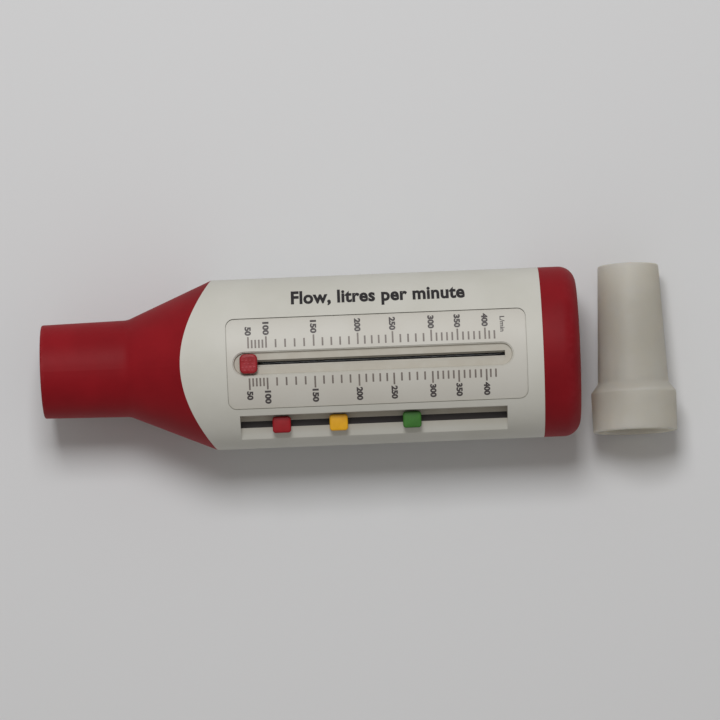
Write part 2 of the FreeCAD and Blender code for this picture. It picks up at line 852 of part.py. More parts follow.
make_mouth_cone()
make_barrel()
make_scale_label()
make_end_cap()
make_flow_tube()
ring("tube_gasket", flow_tube_radius, flow_tube_outside, gasket_start, flow_tube_start)
make_front_spider()
piece("guide_rod", cylinder("guide_rod", s.rod_radius, rod_start, rod_end))
ring(
    "rod_retainer", rod_hole, s.rod_radius + s.retainer_width,
    spider_start - s.retainer_thickness, spider_start,
)
ring("spring_collar", rod_hole, collar_radius, spider_end, collar_end)
make_return_spring()
ring(
    "start_buffer", collar_radius + s.fit, collar_radius + s.buffer_wall,
    spider_end, hub_start - s.gap,
)
ring("end_buffer", rod_hole, boss_radius, end_buffer_start, boss_start)
make_piston()
ring("piston_bush", rod_hole, bush_radius, hub_start, hub_end)
make_pointer()
make_marker_rail()
for marker in ("red_marker", "yellow_marker", "green_marker"):
    make_marker(marker, channel_start + getattr(s, marker + "_place"))
make_mouthpiece()

doc.recompute()
for thing in doc.Objects:
    if "Invalid" in thing.State or "Error" in thing.State:
        raise RuntimeError(f"{thing.Name} failed: {thing.State}")

os.makedirs("parts", exist_ok=True)
for thing in pieces:
    shape = thing.Shape
    if shape.isNull() or not shape.isValid() or len(shape.Solids) != 1:
        raise RuntimeError(f"{thing.Label} is not one valid solid")
    shape.exportStep(f"parts/{thing.Label}.step")
    print(thing.Label, round(shape.Volume, 1))
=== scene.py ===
# %% [markdown]
# # A peak flow meter and its mouthpiece
# The meter lies on its back with its scale up, and the loose mouthpiece lies beside the cap. The solids
# come from the CAD model, already at their real size and place. This notebook gives each of them its
# finish, and remakes the small parts that need rounder edges, print or a finer grip than the solids
# have.

# %% Load the model
import math

import bmesh
import bpy
from mathutils import Matrix, Vector


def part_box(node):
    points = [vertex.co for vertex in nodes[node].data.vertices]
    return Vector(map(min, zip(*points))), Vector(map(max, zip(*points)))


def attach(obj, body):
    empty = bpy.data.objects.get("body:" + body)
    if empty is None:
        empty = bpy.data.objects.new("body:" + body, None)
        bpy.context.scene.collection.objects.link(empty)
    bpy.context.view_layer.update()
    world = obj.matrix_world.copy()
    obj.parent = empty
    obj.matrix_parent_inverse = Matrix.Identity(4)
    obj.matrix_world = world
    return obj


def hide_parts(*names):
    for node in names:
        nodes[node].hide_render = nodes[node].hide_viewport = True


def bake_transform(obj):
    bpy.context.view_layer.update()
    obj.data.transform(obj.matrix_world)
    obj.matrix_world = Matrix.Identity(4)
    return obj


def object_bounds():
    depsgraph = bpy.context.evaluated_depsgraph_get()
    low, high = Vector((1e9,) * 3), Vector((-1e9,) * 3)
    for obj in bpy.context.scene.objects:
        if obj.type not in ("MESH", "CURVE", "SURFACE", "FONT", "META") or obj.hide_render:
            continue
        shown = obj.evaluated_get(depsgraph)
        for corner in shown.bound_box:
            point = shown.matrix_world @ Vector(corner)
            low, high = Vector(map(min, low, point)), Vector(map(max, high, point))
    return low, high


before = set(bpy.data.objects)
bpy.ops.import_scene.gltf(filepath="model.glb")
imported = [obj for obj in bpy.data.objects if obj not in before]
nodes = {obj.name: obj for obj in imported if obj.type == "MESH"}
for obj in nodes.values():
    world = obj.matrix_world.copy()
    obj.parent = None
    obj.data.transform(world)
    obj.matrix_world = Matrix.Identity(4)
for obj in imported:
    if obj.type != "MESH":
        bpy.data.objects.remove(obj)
cad_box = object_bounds()
print("CAD nodes:", len(nodes))

# %% [markdown]
# ## Millimetres and small helpers
# The scene is in metres and the meter's parts are a few millimetres thick, so lengths are written as a
# number times MM. Operators act on whatever is selected, and the loaded solids arrive selected, so
# every step first deselects all of them and then takes hold of one object.

# %% Hold one object
MM = 0.001


def hold(obj):
    """Selects only this object and makes it the active one."""
    bpy.ops.object.select_all(action="DESELECT")
    obj.select_set(True)
    bpy.context.view_layer.objects.active = obj
    return obj


def new_object(name):
    """Names the object that the last operator added."""
    obj = bpy.context.view_layer.objects.active
    obj.name = name
    obj.data.name = name
    return hold(obj)


def apply_place(obj):
    """Moves the object's place, turn and size into its mesh."""
    hold(obj)
    bpy.ops.object.transform_apply(location=True, rotation=True, scale=True)
    return obj


hold(nodes["barrel"])

# %% [markdown]
# ## Camera
# The meter is seen straight from above, turned a little so that the cap end points slightly up the
# picture. A long lens from some way off keeps the barrel's sides parallel. The view is wide enough for
# the meter and the mouthpiece with a small border.

# %% Camera above the scale
low, high = cad_box
middle = (low + high) / 2
CAMERA_HEIGHT = 1.20
SHARE_OF_VIEW = 0.88
VIEW_WIDTH = (high.x - low.x) / SHARE_OF_VIEW
ROLL = math.radians(-2.3)
FAR_CLIP = 20

bpy.ops.object.select_all(action="DESELECT")
bpy.ops.object.camera_add(location=(middle.x, middle.y, CAMERA_HEIGHT), rotation=(0, 0, ROLL))
camera = bpy.context.object
camera.name = "camera"
camera.data.lens = camera.data.sensor_width * CAMERA_HEIGHT / VIEW_WIDTH
camera.data.clip_end = FAR_CLIP
bpy.context.scene.camera = camera
print("Lens in mm:", round(camera.data.lens))

# %% [markdown]
# ## Light
# One large soft lamp stands above the meter's upper side, so the walls of the trough and the channel
# that face away from it are dark, as in the photograph. The pale world fills the shadows. What the
# camera sees of the world, directly, mirrored or through the milky mouthpiece, is a plain grey of its
# own.

# %% Lamp and world
KEY_DIRECTION = Vector((-0.07, 0.46, 0.89)).normalized()
KEY_DISTANCE = 1.0
KEY_SIZE = 0.34
KEY_WATTS = 5.95
WORLD_TINT, WORLD_STRENGTH = (1.0, 0.96, 0.91, 1), 0.31
SEEN_GREY = (0.70, 0.70, 0.69, 1)

bpy.ops.object.light_add(type="AREA", location=middle + KEY_DIRECTION * KEY_DISTANCE)
key = bpy.context.object
key.name = "soft_key"
key.data.shape = "SQUARE"
key.data.size = KEY_SIZE
key.data.energy = KEY_WATTS
key.rotation_euler = KEY_DIRECTION.to_track_quat("Z", "Y").to_euler()

world = bpy.data.worlds.new("studio")
bpy.context.scene.world = world
world.use_nodes = True
tree = world.node_tree
background = tree.nodes["Background"]
background.inputs["Color"].default_value = WORLD_TINT
background.inputs["Strength"].default_value = WORLD_STRENGTH
seen = tree.nodes.new("ShaderNodeBackground")
seen.inputs["Color"].default_value = SEEN_GREY
seen.inputs["Strength"].default_value = 1.0
path = tree.nodes.new("ShaderNodeLightPath")
in_view = path.outputs["Is Camera Ray"]
for ray in ("Is Glossy Ray", "Is Transmission Ray"):
    either = tree.nodes.new("ShaderNodeMath")
    either.operation = "MAXIMUM"
    tree.links.new(in_view, either.inputs[0])
    tree.links.new(path.outputs[ray], either.inputs[1])
    in_view = either.outputs[0]
mix = tree.nodes.new("ShaderNodeMixShader")
tree.links.new(in_view, mix.inputs["Fac"])
tree.links.new(background.outputs[0], mix.inputs[1])
tree.links.new(seen.outputs[0], mix.inputs[2])
tree.links.new(mix.outputs[0], tree.nodes["World Output"].inputs["Surface"])
bpy.context.scene.view_settings.view_transform = "Standard"
print("Key lamp:", key.data.energy, "W")

# %% [markdown]
# ## One recipe for moulded plastic
# Every shell here is injection moulded. Up close such a surface isn't one flat colour: the pigment is
# slightly cloudy, the shine changes where hands have polished it, and the mould leaves a very fine
# grain. The same three effects serve all the plastics, so they sit in one node group with its own
# inputs for each material.

# %% Helpers for building nodes
# places of the colour sockets on a Mix node
MIX_A, MIX_B, MIX_COLOUR = 6, 7, 2
GRAIN_HEIGHT = 0.1 * MM


def add_socket(group, name, kind, value=None, side="INPUT"):
    """Adds an input or an output to a node group."""
    socket = group.interface.new_socket(name=name, in_out=side, socket_type="NodeSocket" + kind)
    if value is not None:
        socket.default_value = value
    return socket


def feed(tree, socket, value):
    """Links an output to a socket, or writes a plain value into it."""
    if isinstance(value, bpy.types.NodeSocket):
        tree.links.new(value, socket)
    else:
        socket.default_value = value


def calculate(tree, operation, *values, kind="ShaderNodeMath"):
    """A Math or Vector Math node on outputs and numbers."""
    node = tree.nodes.new(kind)
    node.operation = operation
    for socket, value in zip(node.inputs, values):
        feed(tree, socket, value)
    return node


def noise(tree, place, scale, detail):
    """Noise over the object, as a value."""
    node = tree.nodes.new("ShaderNodeTexNoise")
    node.inputs["Detail"].default_value = detail
    feed(tree, node.inputs["Vector"], place)
    feed(tree, node.inputs["Scale"], scale)
    return node.outputs["Fac"]


def remap(tree, value, **limits):
    """Maps one range of a value onto another, such as From_Min=0.3."""
    node = tree.nodes.new("ShaderNodeMapRange")
    feed(tree, node.inputs["Value"], value)
    for name, limit in limits.items():
        feed(tree, node.inputs[name.replace("_", " ")], limit)
    return node.outputs["Result"]


def blend_colours(tree, mask, first, second):
    """The first colour where the mask is 0, and the second where it is 1."""
    node = tree.nodes.new("ShaderNodeMix")
    node.data_type = "RGBA"
    feed(tree, node.inputs["Factor"], mask)
    feed(tree, node.inputs[MIX_A], first)
    feed(tree, node.inputs[MIX_B], second)
    return node.outputs[MIX_COLOUR]


def start_group(name):
    """A new node group with its input node, output node and the object's own coordinates."""
    group = bpy.data.node_groups.new(name, "ShaderNodeTree")
    inputs, outputs = group.nodes.new("NodeGroupInput"), group.nodes.new("NodeGroupOutput")
    return group, inputs, outputs, group.nodes.new("ShaderNodeTexCoord").outputs["Object"]


print("Node helpers ready")

# %% Node group for moulded skin


def make_moulded_skin():
    """Cloudy pigment, uneven shine and fine grain."""
    group, inputs, outputs, place = start_group("Moulded skin")
    add_socket(group, "Colour", "Color", (0.5, 0.5, 0.5, 1))
    add_socket(group, "Deeper colour", "Color", (0.4, 0.4, 0.4, 1))
    add_socket(group, "Cloud scale", "Float", 60.0)
    add_socket(group, "Roughness", "Float", 0.4)
    add_socket(group, "Roughness spread", "Float", 0.08)
    add_socket(group, "Grain scale", "Float", 2500.0)
    add_socket(group, "Grain depth", "Float", 0.1)
    add_socket(group, "Colour", "Color", side="OUTPUT")
    add_socket(group, "Roughness", "Float", side="OUTPUT")
    add_socket(group, "Normal", "Vector", side="OUTPUT")
    given, out = inputs.outputs, outputs.inputs

    clouds = remap(group, noise(group, place, given["Cloud scale"], 4), From_Min=0.35, From_Max=0.65)
    feed(group, out["Colour"], blend_colours(group, clouds, given["Deeper colour"], given["Colour"]))

    handled = calculate(group, "SUBTRACT", noise(group, place, 140, 3), 0.5)
    shine = calculate(
        group, "MULTIPLY_ADD", handled.outputs[0], given["Roughness spread"], given["Roughness"]
    )
    feed(group, out["Roughness"], shine.outputs[0])

    bump = group.nodes.new("ShaderNodeBump")
    bump.inputs["Distance"].default_value = GRAIN_HEIGHT
    feed(group, bump.inputs["Height"], noise(group, place, given["Grain scale"], 2))
    feed(group, bump.inputs["Strength"], given["Grain depth"])
    feed(group, out["Normal"], bump.outputs["Normal"])
    return group


moulded_skin = make_moulded_skin()
print("Node group:", moulded_skin.name, "with", len(moulded_skin.nodes), "nodes")

# %% [markdown]
# ## Worn edges and a painted highlight
# Where the mouldings are picked up or set down, at the lip of the mouth tube and round the cap, the
# colour is rubbed a shade paler. The top of the pointer's grip, where it is pushed, gets a paler colour
# as a painted highlight. Those places lie at a known distance along one direction, so this group makes a
# mask that is strong near one distance and broken up by noise.

# %% Node group for a rubbed rim and a painted highlight


def make_rubbed_rim():
    """A mask that is strongest at one distance along a direction."""
    group, inputs, outputs, place = start_group("Rubbed rim and highlight")
    add_socket(group, "Direction", "Vector", (1, 0, 0))
    add_socket(group, "Place", "Float", 0.0)
    add_socket(group, "Width", "Float", 0.001)
    add_socket(group, "Amount", "Float", 0.5)
    add_socket(group, "Mask", "Float", side="OUTPUT")
    given = inputs.outputs
    along = calculate(group, "DOT_PRODUCT", place, given["Direction"], kind="ShaderNodeVectorMath")
    away = calculate(group, "SUBTRACT", along.outputs["Value"], given["Place"])
    size = calculate(group, "ABSOLUTE", away.outputs[0])
    near = remap(group, size.outputs[0], From_Max=given["Width"], To_Min=1, To_Max=0)
    broken = remap(group, noise(group, place, 420, 5), From_Min=0.42, From_Max=0.66)
    both = calculate(group, "MULTIPLY", near, broken)
    scaled = calculate(group, "MULTIPLY", both.outputs[0], given["Amount"])
    feed(group, outputs.inputs["Mask"], scaled.outputs[0])
    return group


rim_wear_and_highlight = make_rubbed_rim()
print("Node group:", rim_wear_and_highlight.name)

# %% [markdown]
# ## Painted shade in the recesses
# The trough and the marker channel are painted a darker, warmer tone as shade. Their surfaces lie
# below the barrel's oval outline. The mask measures how deep a point lies inside that oval, as a share
# of its size, and noise makes the painted shade uneven.

# %% Node group for painted shade below the surface


def make_recess_dust():
    """A mask of what lies more than about half a millimetre inside an oval."""
    group, inputs, outputs, place = start_group("Recess shade")
    add_socket(group, "Oval", "Vector", (0, 40, 48))
    add_socket(group, "Amount", "Float", 0.5)
    add_socket(group, "Mask", "Float", side="OUTPUT")
    given = inputs.outputs
    share = calculate(group, "MULTIPLY", place, given["Oval"], kind="ShaderNodeVectorMath")
    radius = calculate(group, "LENGTH", share.outputs["Vector"], kind="ShaderNodeVectorMath")
    # painted shade: the deeper a point lies inside the oval, the more of the darker colour it gets
    depth = remap(group, radius.outputs["Value"], From_Min=0.975, From_Max=0.93)
    uneven = remap(group, noise(group, place, 300, 4), From_Min=0.3, From_Max=0.6, To_Min=0.7)
    both = calculate(group, "MULTIPLY", depth, uneven)
    scaled = calculate(group, "MULTIPLY", both.outputs[0], given["Amount"])
    feed(group, outputs.inputs["Mask"], scaled.outputs[0])
    return group


recess_shade = make_recess_dust()
print("Node group:", recess_shade.name)

# %% [markdown]
# ## Plastics
# Colours are written as they look on a screen, from 0 to 255, and turned into the linear values that
# shaders use. Each plastic is one call: its colour, a deeper tone of it, and how dull it is.

# %% Material maker


def screen(red, green, blue):
    """A screen colour as the linear colour a shader works in."""
    linear = [c / 12.92 if c <= 0.04045 else ((c + 0.055) / 1.055) ** 2.4
              for c in (red / 255, green / 255, blue / 255)]
    return (*linear, 1.0)


def plastic(name, colour, deeper, roughness, specular=0.5, grain=0.1, cloud=60.0, rim=None, recess_shading=None):
    """A moulded plastic.

    The rim is its direction, place, width, amount and paler colour: rubbed wear, and a painted highlight on
    the pointer's grip. The recess shading is its oval, amount and painted shade colour.
    """
    material = bpy.data.materials.new(name)
    material.use_nodes = True
    nodes_here, links = material.node_tree.nodes, material.node_tree.links
    shader = nodes_here["Principled BSDF"]
    skin = nodes_here.new("ShaderNodeGroup")
    skin.node_tree = moulded_skin
    skin.inputs["Colour"].default_value = screen(*colour)
    skin.inputs["Deeper colour"].default_value = screen(*deeper)
    skin.inputs["Cloud scale"].default_value = cloud
    skin.inputs["Roughness"].default_value = roughness
    skin.inputs["Grain depth"].default_value = grain
    colour_out = skin.outputs["Colour"]
    # rubbed rims and the grip's painted highlight, then painted shade in the recesses, are blended over the
    # skin colour
    for group, names, values in (
        (rim_wear_and_highlight, ("Direction", "Place", "Width", "Amount"), rim), (recess_shade, ("Oval", "Amount"), recess_shading)
    ):
        if not values:
            continue
        cover = nodes_here.new("ShaderNodeGroup")
        cover.node_tree = group
        for socket, value in zip(names, values):
            cover.inputs[socket].default_value = value
        top_colour = screen(*values[-1])
        colour_out = blend_colours(material.node_tree, cover.outputs["Mask"], colour_out, top_colour)
    links.new(colour_out, shader.inputs["Base Color"])
    links.new(skin.outputs["Roughness"], shader.inputs["Roughness"])
    links.new(skin.outputs["Normal"], shader.inputs["Normal"])
    shader.inputs["Specular IOR Level"].default_value = specular
    return material


ALONG, UP = (1, 0, 0), (0, 0, 1)
RED, DEEP_RED = (131, 18, 27), (119, 14, 23)
# the mouth cone's red is a lighter copy of the cap's red, painted light that brightens the tube and cone
red_cone = plastic(
    "red_cone", (136, 18, 27), (124, 14, 23), 0.55, 0.12, rim=(ALONG, 0.0, 1.4 * MM, 0.35, (160, 62, 68))
)
cap_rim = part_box("end_cap")[1].x - 2.6 * MM
red_cap = plastic(
    "red_cap", RED, DEEP_RED, 0.55, 0.12, rim=(ALONG, cap_rim, 2.4 * MM, 0.15, (150, 50, 58))
)
BARREL_OVAL = (25 * MM, 21 * MM)
# the barrel's recesses get a darker, warmer colour as painted shade
white_shell = plastic(
    "white_shell", (200, 199, 192), (195, 194, 186), 0.52, 0.2,
    recess_shading=((0, 1 / BARREL_OVAL[0], 1 / BARREL_OVAL[1]), 0.8, (178, 172, 160))
)
scale_paper = plastic("scale_paper", (197, 195, 188), (193, 190, 182), 0.46, 0.3, grain=0.05)
inner_white = plastic("inner_white", (198, 194, 184), (188, 184, 174), 0.5)
seal_grey = plastic("seal_grey", (44, 43, 45), (34, 33, 35), 0.8, grain=0.3)
rail_black = plastic("rail_black", (54, 44, 43), (44, 36, 36), 0.5)
piston_white = plastic("piston_white", (222, 221, 216), (212, 210, 205), 0.4)
# the top of the pointer's grip gets a paler pink as a painted highlight
grip_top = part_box("pointer_knob")[1].z
pointer_red = plastic(
    "pointer_red", (143, 11, 23), (130, 9, 20), 0.42, 0.3, cloud=300.0,
    rim=(UP, grip_top, 0.2 * MM, 0.6, (192, 84, 92))
)
marker_red = plastic("marker_red", (146, 14, 25), (133, 11, 21), 0.46, 0.25, cloud=300.0)
marker_yellow = plastic("marker_yellow", (218, 163, 22), (204, 148, 16), 0.44, 0.3, cloud=300.0)
marker_green = plastic("marker_green", (55, 108, 40), (46, 94, 33), 0.46, 0.25, cloud=300.0)
print("Plastics:", len(bpy.data.materials))

# %% [markdown]
# ## Metals
# The guide rod and the spring are bright steel and the bush is brass. Drawn wire and ground rod carry
# fine lines along their length, so their noise is stretched along X before it changes the roughness.

# %% Drawn metal


def drawn_metal(name, colour, roughness):
    """Metal with fine lines along the meter."""
    material = bpy.data.materials.new(name)
    material.use_nodes = True
    nodes_here, links = material.node_tree.nodes, material.node_tree.links
    shader = nodes_here["Principled BSDF"]
    shader.inputs["Base Color"].default_value = screen(*colour)
    shader.inputs["Metallic"].default_value = 1.0
    place = nodes_here.new("ShaderNodeTexCoord")
    stretch = nodes_here.new("ShaderNodeMapping")
    stretch.inputs["Scale"].default_value = (40, 2200, 2200)
    links.new(place.outputs["Object"], stretch.inputs["Vector"])
    lines = noise(material.node_tree, stretch.outputs["Vector"], 1.0, 3)
    spread = remap(material.node_tree, lines, To_Min=roughness - 0.08, To_Max=roughness + 0.12)
    links.new(spread, shader.inputs["Roughness"])
    return material


rod_steel = drawn_metal("rod_steel", (198, 199, 202), 0.25)
bush_brass = drawn_metal("bush_brass", (196, 160, 92), 0.3)
print("Metals:", rod_steel.name, bush_brass.name)

# %% [markdown]
# ## Milky mouthpiece plastic
# The mouthpiece is unpigmented polypropylene. It lets light through but scatters it, so its far wall
# and the ground show only as soft tones. Part of the light passes through a rough surface, and the rest
# is scattered under it.

# %% Milky plastic
milky = bpy.data.materials.new("milky_plastic")
milky.use_nodes = True
milk_nodes, milk_links = milky.node_tree.nodes, milky.node_tree.links
milk_shader = milk_nodes["Principled BSDF"]
milk_skin = milk_nodes.new("ShaderNodeGroup")
milk_skin.node_tree = moulded_skin
milk_skin.inputs["Colour"].default_value = screen(226, 219, 203)
milk_skin.inputs["Deeper colour"].default_value = screen(217, 209, 191)
milk_skin.inputs["Roughness"].default_value = 0.55
milk_skin.inputs["Grain depth"].default_value = 0.08
for output, target in (("Colour", "Base Color"), ("Roughness", "Roughness"), ("Normal", "Normal")):
    milk_links.new(milk_skin.outputs[output], milk_shader.inputs[target])
milk_shader.inputs["Transmission Weight"].default_value = 0.4
milk_shader.inputs["IOR"].default_value = 1.49
milk_shader.inputs["Specular IOR Level"].default_value = 0.3
milk_shader.inputs["Subsurface Weight"].default_value = 1.0
milk_shader.inputs["Subsurface Radius"].default_value = (12 * MM, 11 * MM, 9.4 * MM)
milk_shader.inputs["Subsurface Scale"].default_value = 1.0
print("Milky plastic ready")

# %% [markdown]
# ## Finishes for the solids that stay
# A solid whose shape is already right stays as it came, and only gets a material in place of its own.

# %% Dress the CAD nodes
FINISH = {
    "mouth_cone": red_cone, "end_cap": red_cap, "barrel": white_shell, "scale_label": scale_paper,
    "flow_tube": inner_white, "front_spider": inner_white, "spring_collar": inner_white,
    "tube_gasket": seal_grey, "start_buffer": seal_grey, "end_buffer": seal_grey,
    "guide_rod": rod_steel, "rod_retainer": rod_steel, "return_spring": rod_steel,
    "marker_rail": rail_black, "piston": piston_white, "piston_bush": bush_brass,
    "pointer_knob": pointer_red, "pointer_shoe": pointer_red,
    "red_marker": marker_red, "red_marker_shoe": marker_red,
    "yellow_marker": marker_yellow, "yellow_marker_shoe": marker_yellow,
    "green_marker": marker_green, "green_marker_shoe": marker_green,
    "mouthpiece": milky,
}
for name, material in FINISH.items():
    node = nodes[name]
    if not node.material_slots:
        node.data.materials.append(material)
    for material_slot in node.material_slots:
        material_slot.material = material
print("Nodes without a finish:", sorted(set(nodes) - set(FINISH)))

# %% [markdown]
# ## Shaping by hand
# The next pieces start as primitives and are shaped in edit mode. Edges are picked in code, by where
# they lie or which way they run, and then an operator works on what is picked.

# %% Edit-mode helpers


def start_edit(obj):
    """Opens an object in edit mode, ready to pick edges."""
    hold(obj)
    bpy.ops.object.mode_set(mode="EDIT")
    bpy.ops.mesh.select_mode(type="EDGE")


def pick_edges(obj, wanted):
    """Selects the edges that wanted() says yes to."""
    bpy.ops.mesh.select_all(action="DESELECT")
    mesh = bmesh.from_edit_mesh(obj.data)
    for edge in mesh.edges:
        if wanted(edge):
            edge.select_set(True)
    mesh.select_flush_mode()
    bmesh.update_edit_mesh(obj.data)


def end_edit(obj, smooth_angle=30):
    """Closes seams, turns the faces outwards, leaves edit mode and smooths the gentle edges."""
    bpy.ops.mesh.select_all(action="SELECT")
    bpy.ops.mesh.remove_doubles(threshold=0.002 * MM)
    bpy.ops.mesh.normals_make_consistent(inside=False)
    bpy.ops.object.mode_set(mode="OBJECT")
    hold(obj)
    bpy.ops.object.shade_smooth_by_angle(angle=math.radians(smooth_angle))


def copy_at(obj, offset):
    """A copy with its own mesh, moved by offset."""
    twin = obj.copy()
    twin.data = obj.data.copy()
    bpy.context.collection.objects.link(twin)
    twin.data.transform(Matrix.Translation(offset))
    return twin


def join(name, parts):
    """Joins objects into the first of them."""
    bpy.ops.object.select_all(action="DESELECT")
    for part in parts:
        part.select_set(True)
    bpy.context.view_layer.objects.active = parts[0]
    bpy.ops.object.join()
    parts[0].name = name
    parts[0].data.name = name
    return hold(parts[0])


def finish_piece(obj, body, material, slot, *replaced):
    """Gives a piece its material, its body and the nodes that it stands for."""
    obj.data.materials.clear()
    obj.data.materials.append(material)
    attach(obj, body)
    if replaced:
        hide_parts(*replaced)
    print(obj.name, "rides on", body, "with", len(obj.data.polygons), "faces")


print("Helpers ready")

# %% [markdown]
# ## Zone markers
# Each marker is a small moulded block that a thumbnail pushes along its channel. Its corners are round
# as seen from above, its top rim is rounded too, and the top is slightly crowned. A cube is the start:
# its upright edges are bevelled, then its top rim and, less, its bottom rim. Cuts across the block give
# the crown something to bend, and the top's corners are then lifted, most in the middle.

# %% One rounded block


def rounded_block(name, low, high, corner, rim, crown):
    """A block with round corners, a soft top rim and a slightly crowned top."""
    size, centre = high - low, (low + high) / 2
    bpy.ops.object.select_all(action="DESELECT")
    bpy.ops.mesh.primitive_cube_add(size=1, location=centre, scale=size)
    block = apply_place(new_object(name))
    top, bottom = high.z - 0.01 * MM, low.z + 0.01 * MM
    start_edit(block)
    pick_edges(block, lambda e: abs(e.verts[0].co.z - e.verts[1].co.z) > 0.5 * size.z)
    bpy.ops.mesh.bevel(offset=corner, segments=8, affect="EDGES")
    pick_edges(block, lambda e: all(v.co.z > top for v in e.verts))
    bpy.ops.mesh.bevel(offset=rim, segments=4, affect="EDGES")
    pick_edges(block, lambda e: all(v.co.z < bottom for v in e.verts))
    bpy.ops.mesh.bevel(offset=rim / 3, segments=2, affect="EDGES")
    for share in (-0.33, -0.22, -0.11, 0, 0.11, 0.22, 0.33):
        for direction in (Vector((1, 0, 0)), Vector((0, 1, 0))):
            bpy.ops.mesh.select_all(action="SELECT")
            bpy.ops.mesh.bisect(plane_co=centre + share * size, plane_no=direction)
    end_edit(block)
    for vertex in block.data.vertices:
        across, along = (vertex.co.x - centre.x) / size.x, (vertex.co.y - centre.y) / size.y
        if vertex.co.z > centre.z:
            vertex.co.z += crown * (1 - 4 * across**2) * (1 - 4 * along**2)
    return block


MARKER_CORNER, MARKER_RIM, MARKER_CROWN = 0.9 * MM, 0.45 * MM, 0.12 * MM
for colour, material in (("red", marker_red), ("yellow", marker_yellow), ("green", marker_green)):
    node = colour + "_marker"
    marker_low, marker_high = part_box(node)
    marker_high.z -= MARKER_CROWN
    block = rounded_block(
        colour + "_marker_block", marker_low, marker_high, MARKER_CORNER, MARKER_RIM, MARKER_CROWN
    )
    finish_piece(block, colour + "_zone", material, "marker_" + colour, node)

# %% [markdown]
# ## Pointer
# The pointer is pushed back to zero by a fingertip, so its top has a grip of short raised dashes in
# five staggered rows. The block is made as the markers are. One dash is modelled and copied, and the
# copies are joined to the block.

# %% Pointer block and its grip
KNOB_CORNER, KNOB_RIM, KNOB_CROWN = 1.5 * MM, 0.5 * MM, 0.08 * MM
GRIP_HEIGHT = 0.16 * MM
knob_low, knob_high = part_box("pointer_knob")
knob_high.z -= GRIP_HEIGHT
knob = rounded_block("pointer_block", knob_low, knob_high, KNOB_CORNER, KNOB_RIM, KNOB_CROWN)

DASH = Vector((0.78, 0.36, 0.34)) * MM
bpy.ops.object.select_all(action="DESELECT")
bpy.ops.mesh.primitive_cube_add(size=1, scale=DASH)
dash = apply_place(new_object("dash"))
start_edit(dash)
pick_edges(dash, lambda e: max(v.co.z for v in e.verts) > 0)
bpy.ops.mesh.bevel(offset=0.1 * MM, segments=2, affect="EDGES")
end_edit(dash)

ROW_STEP, DASH_STEP = 0.93 * MM, 1.12 * MM
GRIP_HALF_LENGTH, GRIP_HALF_DIAGONAL = 1.75 * MM, 3.1 * MM
knob_middle = (knob_low + knob_high) / 2
dashes = []
for row in range(-2, 3):
    shift = 0.5 * (row % 2)
    for place in range(-2, 3):
        offset = Vector(((place + shift) * DASH_STEP, row * ROW_STEP, 0))
        if abs(offset.x) > GRIP_HALF_LENGTH or abs(offset.x) + abs(offset.y) > GRIP_HALF_DIAGONAL:
            continue
        lift = Vector((knob_middle.x, knob_middle.y, knob_high.z + GRIP_HEIGHT - DASH.z / 2))
        dashes.append(copy_at(dash, lift + offset))
bpy.data.objects.remove(dash)
pointer_block = join("pointer_block", [knob, *dashes])
finish_piece(pointer_block, "pointer", pointer_red, "pointer_red", "pointer_knob")
print("Dashes:", len(dashes))

# %% [markdown]
# ## Mouthpiece
# The mouthpiece is one thin moulding: a skirt that plugs into the meter, a shoulder and a neck that
# tapers to the lips. It could be spun from an outline, but growing it ring by ring is easy to follow: a
# circle is extruded along the axis and scaled at each step, up the outside, over the tip and back down
# the inside. The two open ends meet at the skirt and are bridged. A bevel then rounds the rims and the
# shoulder.

# %% Grow the wall ring by ring
MOUTHPIECE_LENGTH, WALL = 49.5 * MM, 1.4 * MM
SKIRT, SHOULDER = 11.7 * MM, 14.4 * MM
SKIRT_RADIUS, NECK_RADIUS, TIP_RADIUS = 12.6 * MM, 10.45 * MM, 9.0 * MM
SKIRT_TAPER = 0.2 * MM
outside = [
    (0, SKIRT_RADIUS - SKIRT_TAPER), (SKIRT, SKIRT_RADIUS), (SHOULDER, NECK_RADIUS),
    (MOUTHPIECE_LENGTH, TIP_RADIUS),
]
rings = outside + [(along, radius - WALL) for along, radius in reversed(outside)]
bpy.ops.object.select_all(action="DESELECT")
bpy.ops.mesh.primitive_circle_add(vertices=128, radius=rings[0][1], fill_type="NOTHING")
tube = new_object("mouthpiece_moulding")
start_edit(tube)
bpy.ops.mesh.select_all(action="SELECT")
for (along, radius), (following, wider) in zip(rings, rings[1:]):
    bpy.ops.mesh.extrude_edges_move(TRANSFORM_OT_translate={"value": (0, 0, following - along)})
    grow = wider / radius
    bpy.ops.transform.resize(value=(grow, grow, 1), center_override=(0, 0, following))
pick_edges(tube, lambda e: e.is_boundary)
bpy.ops.mesh.bridge_edge_loops()
end_edit(tube)
print("Rings:", len(rings))

# %% Round its edges and lay it down
rounding = tube.modifiers.new("rounding", "BEVEL")
rounding.width = 0.45 * MM
rounding.segments = 4
rounding.limit_method = "ANGLE"
rounding.angle_limit = math.radians(20)
hold(tube)
bpy.ops.object.modifier_apply(modifier=rounding.name)
bpy.ops.object.shade_smooth_by_angle(angle=math.radians(50))

slope = math.atan2(SKIRT_RADIUS - TIP_RADIUS, MOUTHPIECE_LENGTH - SKIRT)
reach = MOUTHPIECE_LENGTH / 2 * math.cos(slope)
height = SKIRT * math.sin(slope) + SKIRT_RADIUS * math.cos(slope)
mouth_low, mouth_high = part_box("mouthpiece")
tube.rotation_euler = (-math.pi / 2 - slope, 0, 0)
tube.location = ((mouth_low.x + mouth_high.x) / 2, -reach, height + low.z)
apply_place(tube)
finish_piece(tube, "loose_mouthpiece", milky, "milky_plastic", "mouthpiece")
